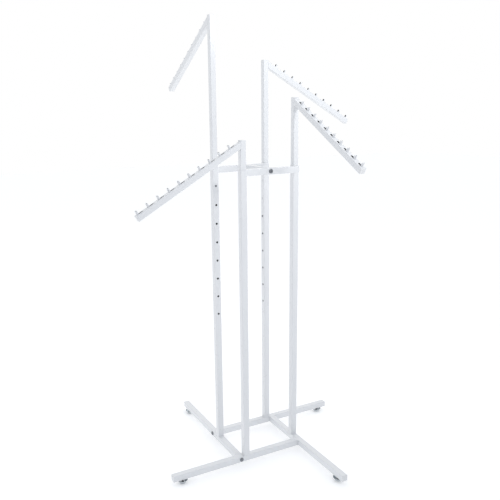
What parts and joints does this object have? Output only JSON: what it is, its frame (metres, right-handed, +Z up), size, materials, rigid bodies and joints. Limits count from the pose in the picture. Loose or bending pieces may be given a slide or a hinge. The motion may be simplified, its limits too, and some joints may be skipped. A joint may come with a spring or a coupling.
{
  "type": "clothing rack",
  "caption": "Free-standing clothing rack: telescoping square-tube uprights with sloping lugged arms on a pinwheel of floor bars with levelling glides.",
  "frame": {"origin": "on the floor under the centre of the rack", "axes": "+Z up; the front bar lies along X on the -Y side, and the front left arm points along -X"},
  "size_m": [1.0882, 0.9856, 1.7828],
  "materials": {
    "powder_coat": "gloss white powder coat",
    "white_cap": "white moulded plastic",
    "zinc_steel": "zinc plated",
    "spring_steel": "plain spring steel",
    "nickel": "nickel plated"
  },
  "bodies": {
    "base": {"base_bar_front": "powder_coat", "base_bar_right": "powder_coat", "base_bar_back": "powder_coat", "base_bar_left": "powder_coat", "leg_cap_front": "white_cap", "leg_cap_right": "white_cap", "leg_cap_back": "white_cap", "leg_cap_left": "white_cap", "base_bolts": "zinc_steel", "base_inserts": "zinc_steel", "glide_nuts": "zinc_steel", "post_front_left": "powder_coat", "post_front_right": "powder_coat", "post_back_right": "powder_coat", "post_back_left": "powder_coat", "top_bar_front": "powder_coat", "top_bar_back": "powder_coat", "top_bar_caps": "white_cap", "top_connector": "powder_coat", "connector_bolts": "zinc_steel", "connector_inserts": "zinc_steel"},
    "front_left_arm": {"upright_front_left": "powder_coat", "upright_cap_front_left": "white_cap", "arm_front_left": "powder_coat", "arm_lugs_front_left": "powder_coat", "arm_cap_front_left": "white_cap", "snap_clip_front_left": "spring_steel"},
    "front_left_button": {"snap_button_front_left": "zinc_steel"},
    "front_right_arm": {"upright_front_right": "powder_coat", "upright_cap_front_right": "white_cap", "arm_front_right": "powder_coat", "arm_lugs_front_right": "powder_coat", "arm_cap_front_right": "white_cap", "snap_clip_front_right": "spring_steel"},
    "front_right_button": {"snap_button_front_right": "zinc_steel"},
    "back_right_arm": {"upright_back_right": "powder_coat", "upright_cap_back_right": "white_cap", "arm_back_right": "powder_coat", "arm_lugs_back_right": "powder_coat", "arm_cap_back_right": "white_cap", "snap_clip_back_right": "spring_steel"},
    "back_right_button": {"snap_button_back_right": "zinc_steel"},
    "back_left_arm": {"upright_back_left": "powder_coat", "upright_cap_back_left": "white_cap", "arm_back_left": "powder_coat", "arm_lugs_back_left": "powder_coat", "arm_cap_back_left": "white_cap", "snap_clip_back_left": "spring_steel"},
    "back_left_button": {"snap_button_back_left": "zinc_steel"},
    "front_glide": {"glide_stud_front": "zinc_steel", "glide_cup_front": "nickel"},
    "right_glide": {"glide_stud_right": "zinc_steel", "glide_cup_right": "nickel"},
    "back_glide": {"glide_stud_back": "zinc_steel", "glide_cup_back": "nickel"},
    "left_glide": {"glide_stud_left": "zinc_steel", "glide_cup_left": "nickel"}
  },
  "joints": [
    {"name": "front_left_arm_height", "type": "slide", "parent": "base", "child": "front_left_arm", "axis": [0, 0, 1], "range_m": [-0.0762, 0.4572], "deforming": ["snap_button_front_left"]},
    {"name": "front_left_button_press", "type": "slide", "parent": "front_left_arm", "child": "front_left_button", "axis": [-1, 0, 0], "range_m": [0, 0.005], "stiffness_N_per_m": 2000, "springref_m": -0.004, "deforming": ["snap_clip_front_left"]},
    {"name": "front_right_arm_height", "type": "slide", "parent": "base", "child": "front_right_arm", "axis": [0, 0, 1], "range_m": [-0.1524, 0.3048], "deforming": ["snap_button_front_right"]},
    {"name": "front_right_button_press", "type": "slide", "parent": "front_right_arm", "child": "front_right_button", "axis": [0, -1, 0], "range_m": [0, 0.005], "stiffness_N_per_m": 2000, "springref_m": -0.004, "deforming": ["snap_clip_front_right"]},
    {"name": "back_right_arm_height", "type": "slide", "parent": "base", "child": "back_right_arm", "axis": [0, 0, 1], "range_m": [-0.381, 0.1524], "deforming": ["snap_button_back_right"]},
    {"name": "back_right_button_press", "type": "slide", "parent": "back_right_arm", "child": "back_right_button", "axis": [1, 0, 0], "range_m": [0, 0.005], "stiffness_N_per_m": 2000, "springref_m": -0.004, "deforming": ["snap_clip_back_right"]},
    {"name": "back_left_arm_height", "type": "slide", "parent": "base", "child": "back_left_arm", "axis": [0, 0, 1], "range_m": [-0.4572, 0], "deforming": ["snap_button_back_left"]},
    {"name": "back_left_button_press", "type": "slide", "parent": "back_left_arm", "child": "back_left_button", "axis": [0, 1, 0], "range_m": [0, 0.005], "stiffness_N_per_m": 2000, "springref_m": -0.004, "deforming": ["snap_clip_back_left"]},
    {"name": "front_glide_screw", "type": "slide", "parent": "base", "child": "front_glide", "axis": [0, 0, 1], "range_m": [-0.008, 0.003]},
    {"name": "right_glide_screw", "type": "slide", "parent": "base", "child": "right_glide", "axis": [0, 0, 1], "range_m": [-0.008, 0.003]},
    {"name": "back_glide_screw", "type": "slide", "parent": "base", "child": "back_glide", "axis": [0, 0, 1], "range_m": [-0.008, 0.003]},
    {"name": "left_glide_screw", "type": "slide", "parent": "base", "child": "left_glide", "axis": [0, 0, 1], "range_m": [-0.008, 0.003]}
  ]
}
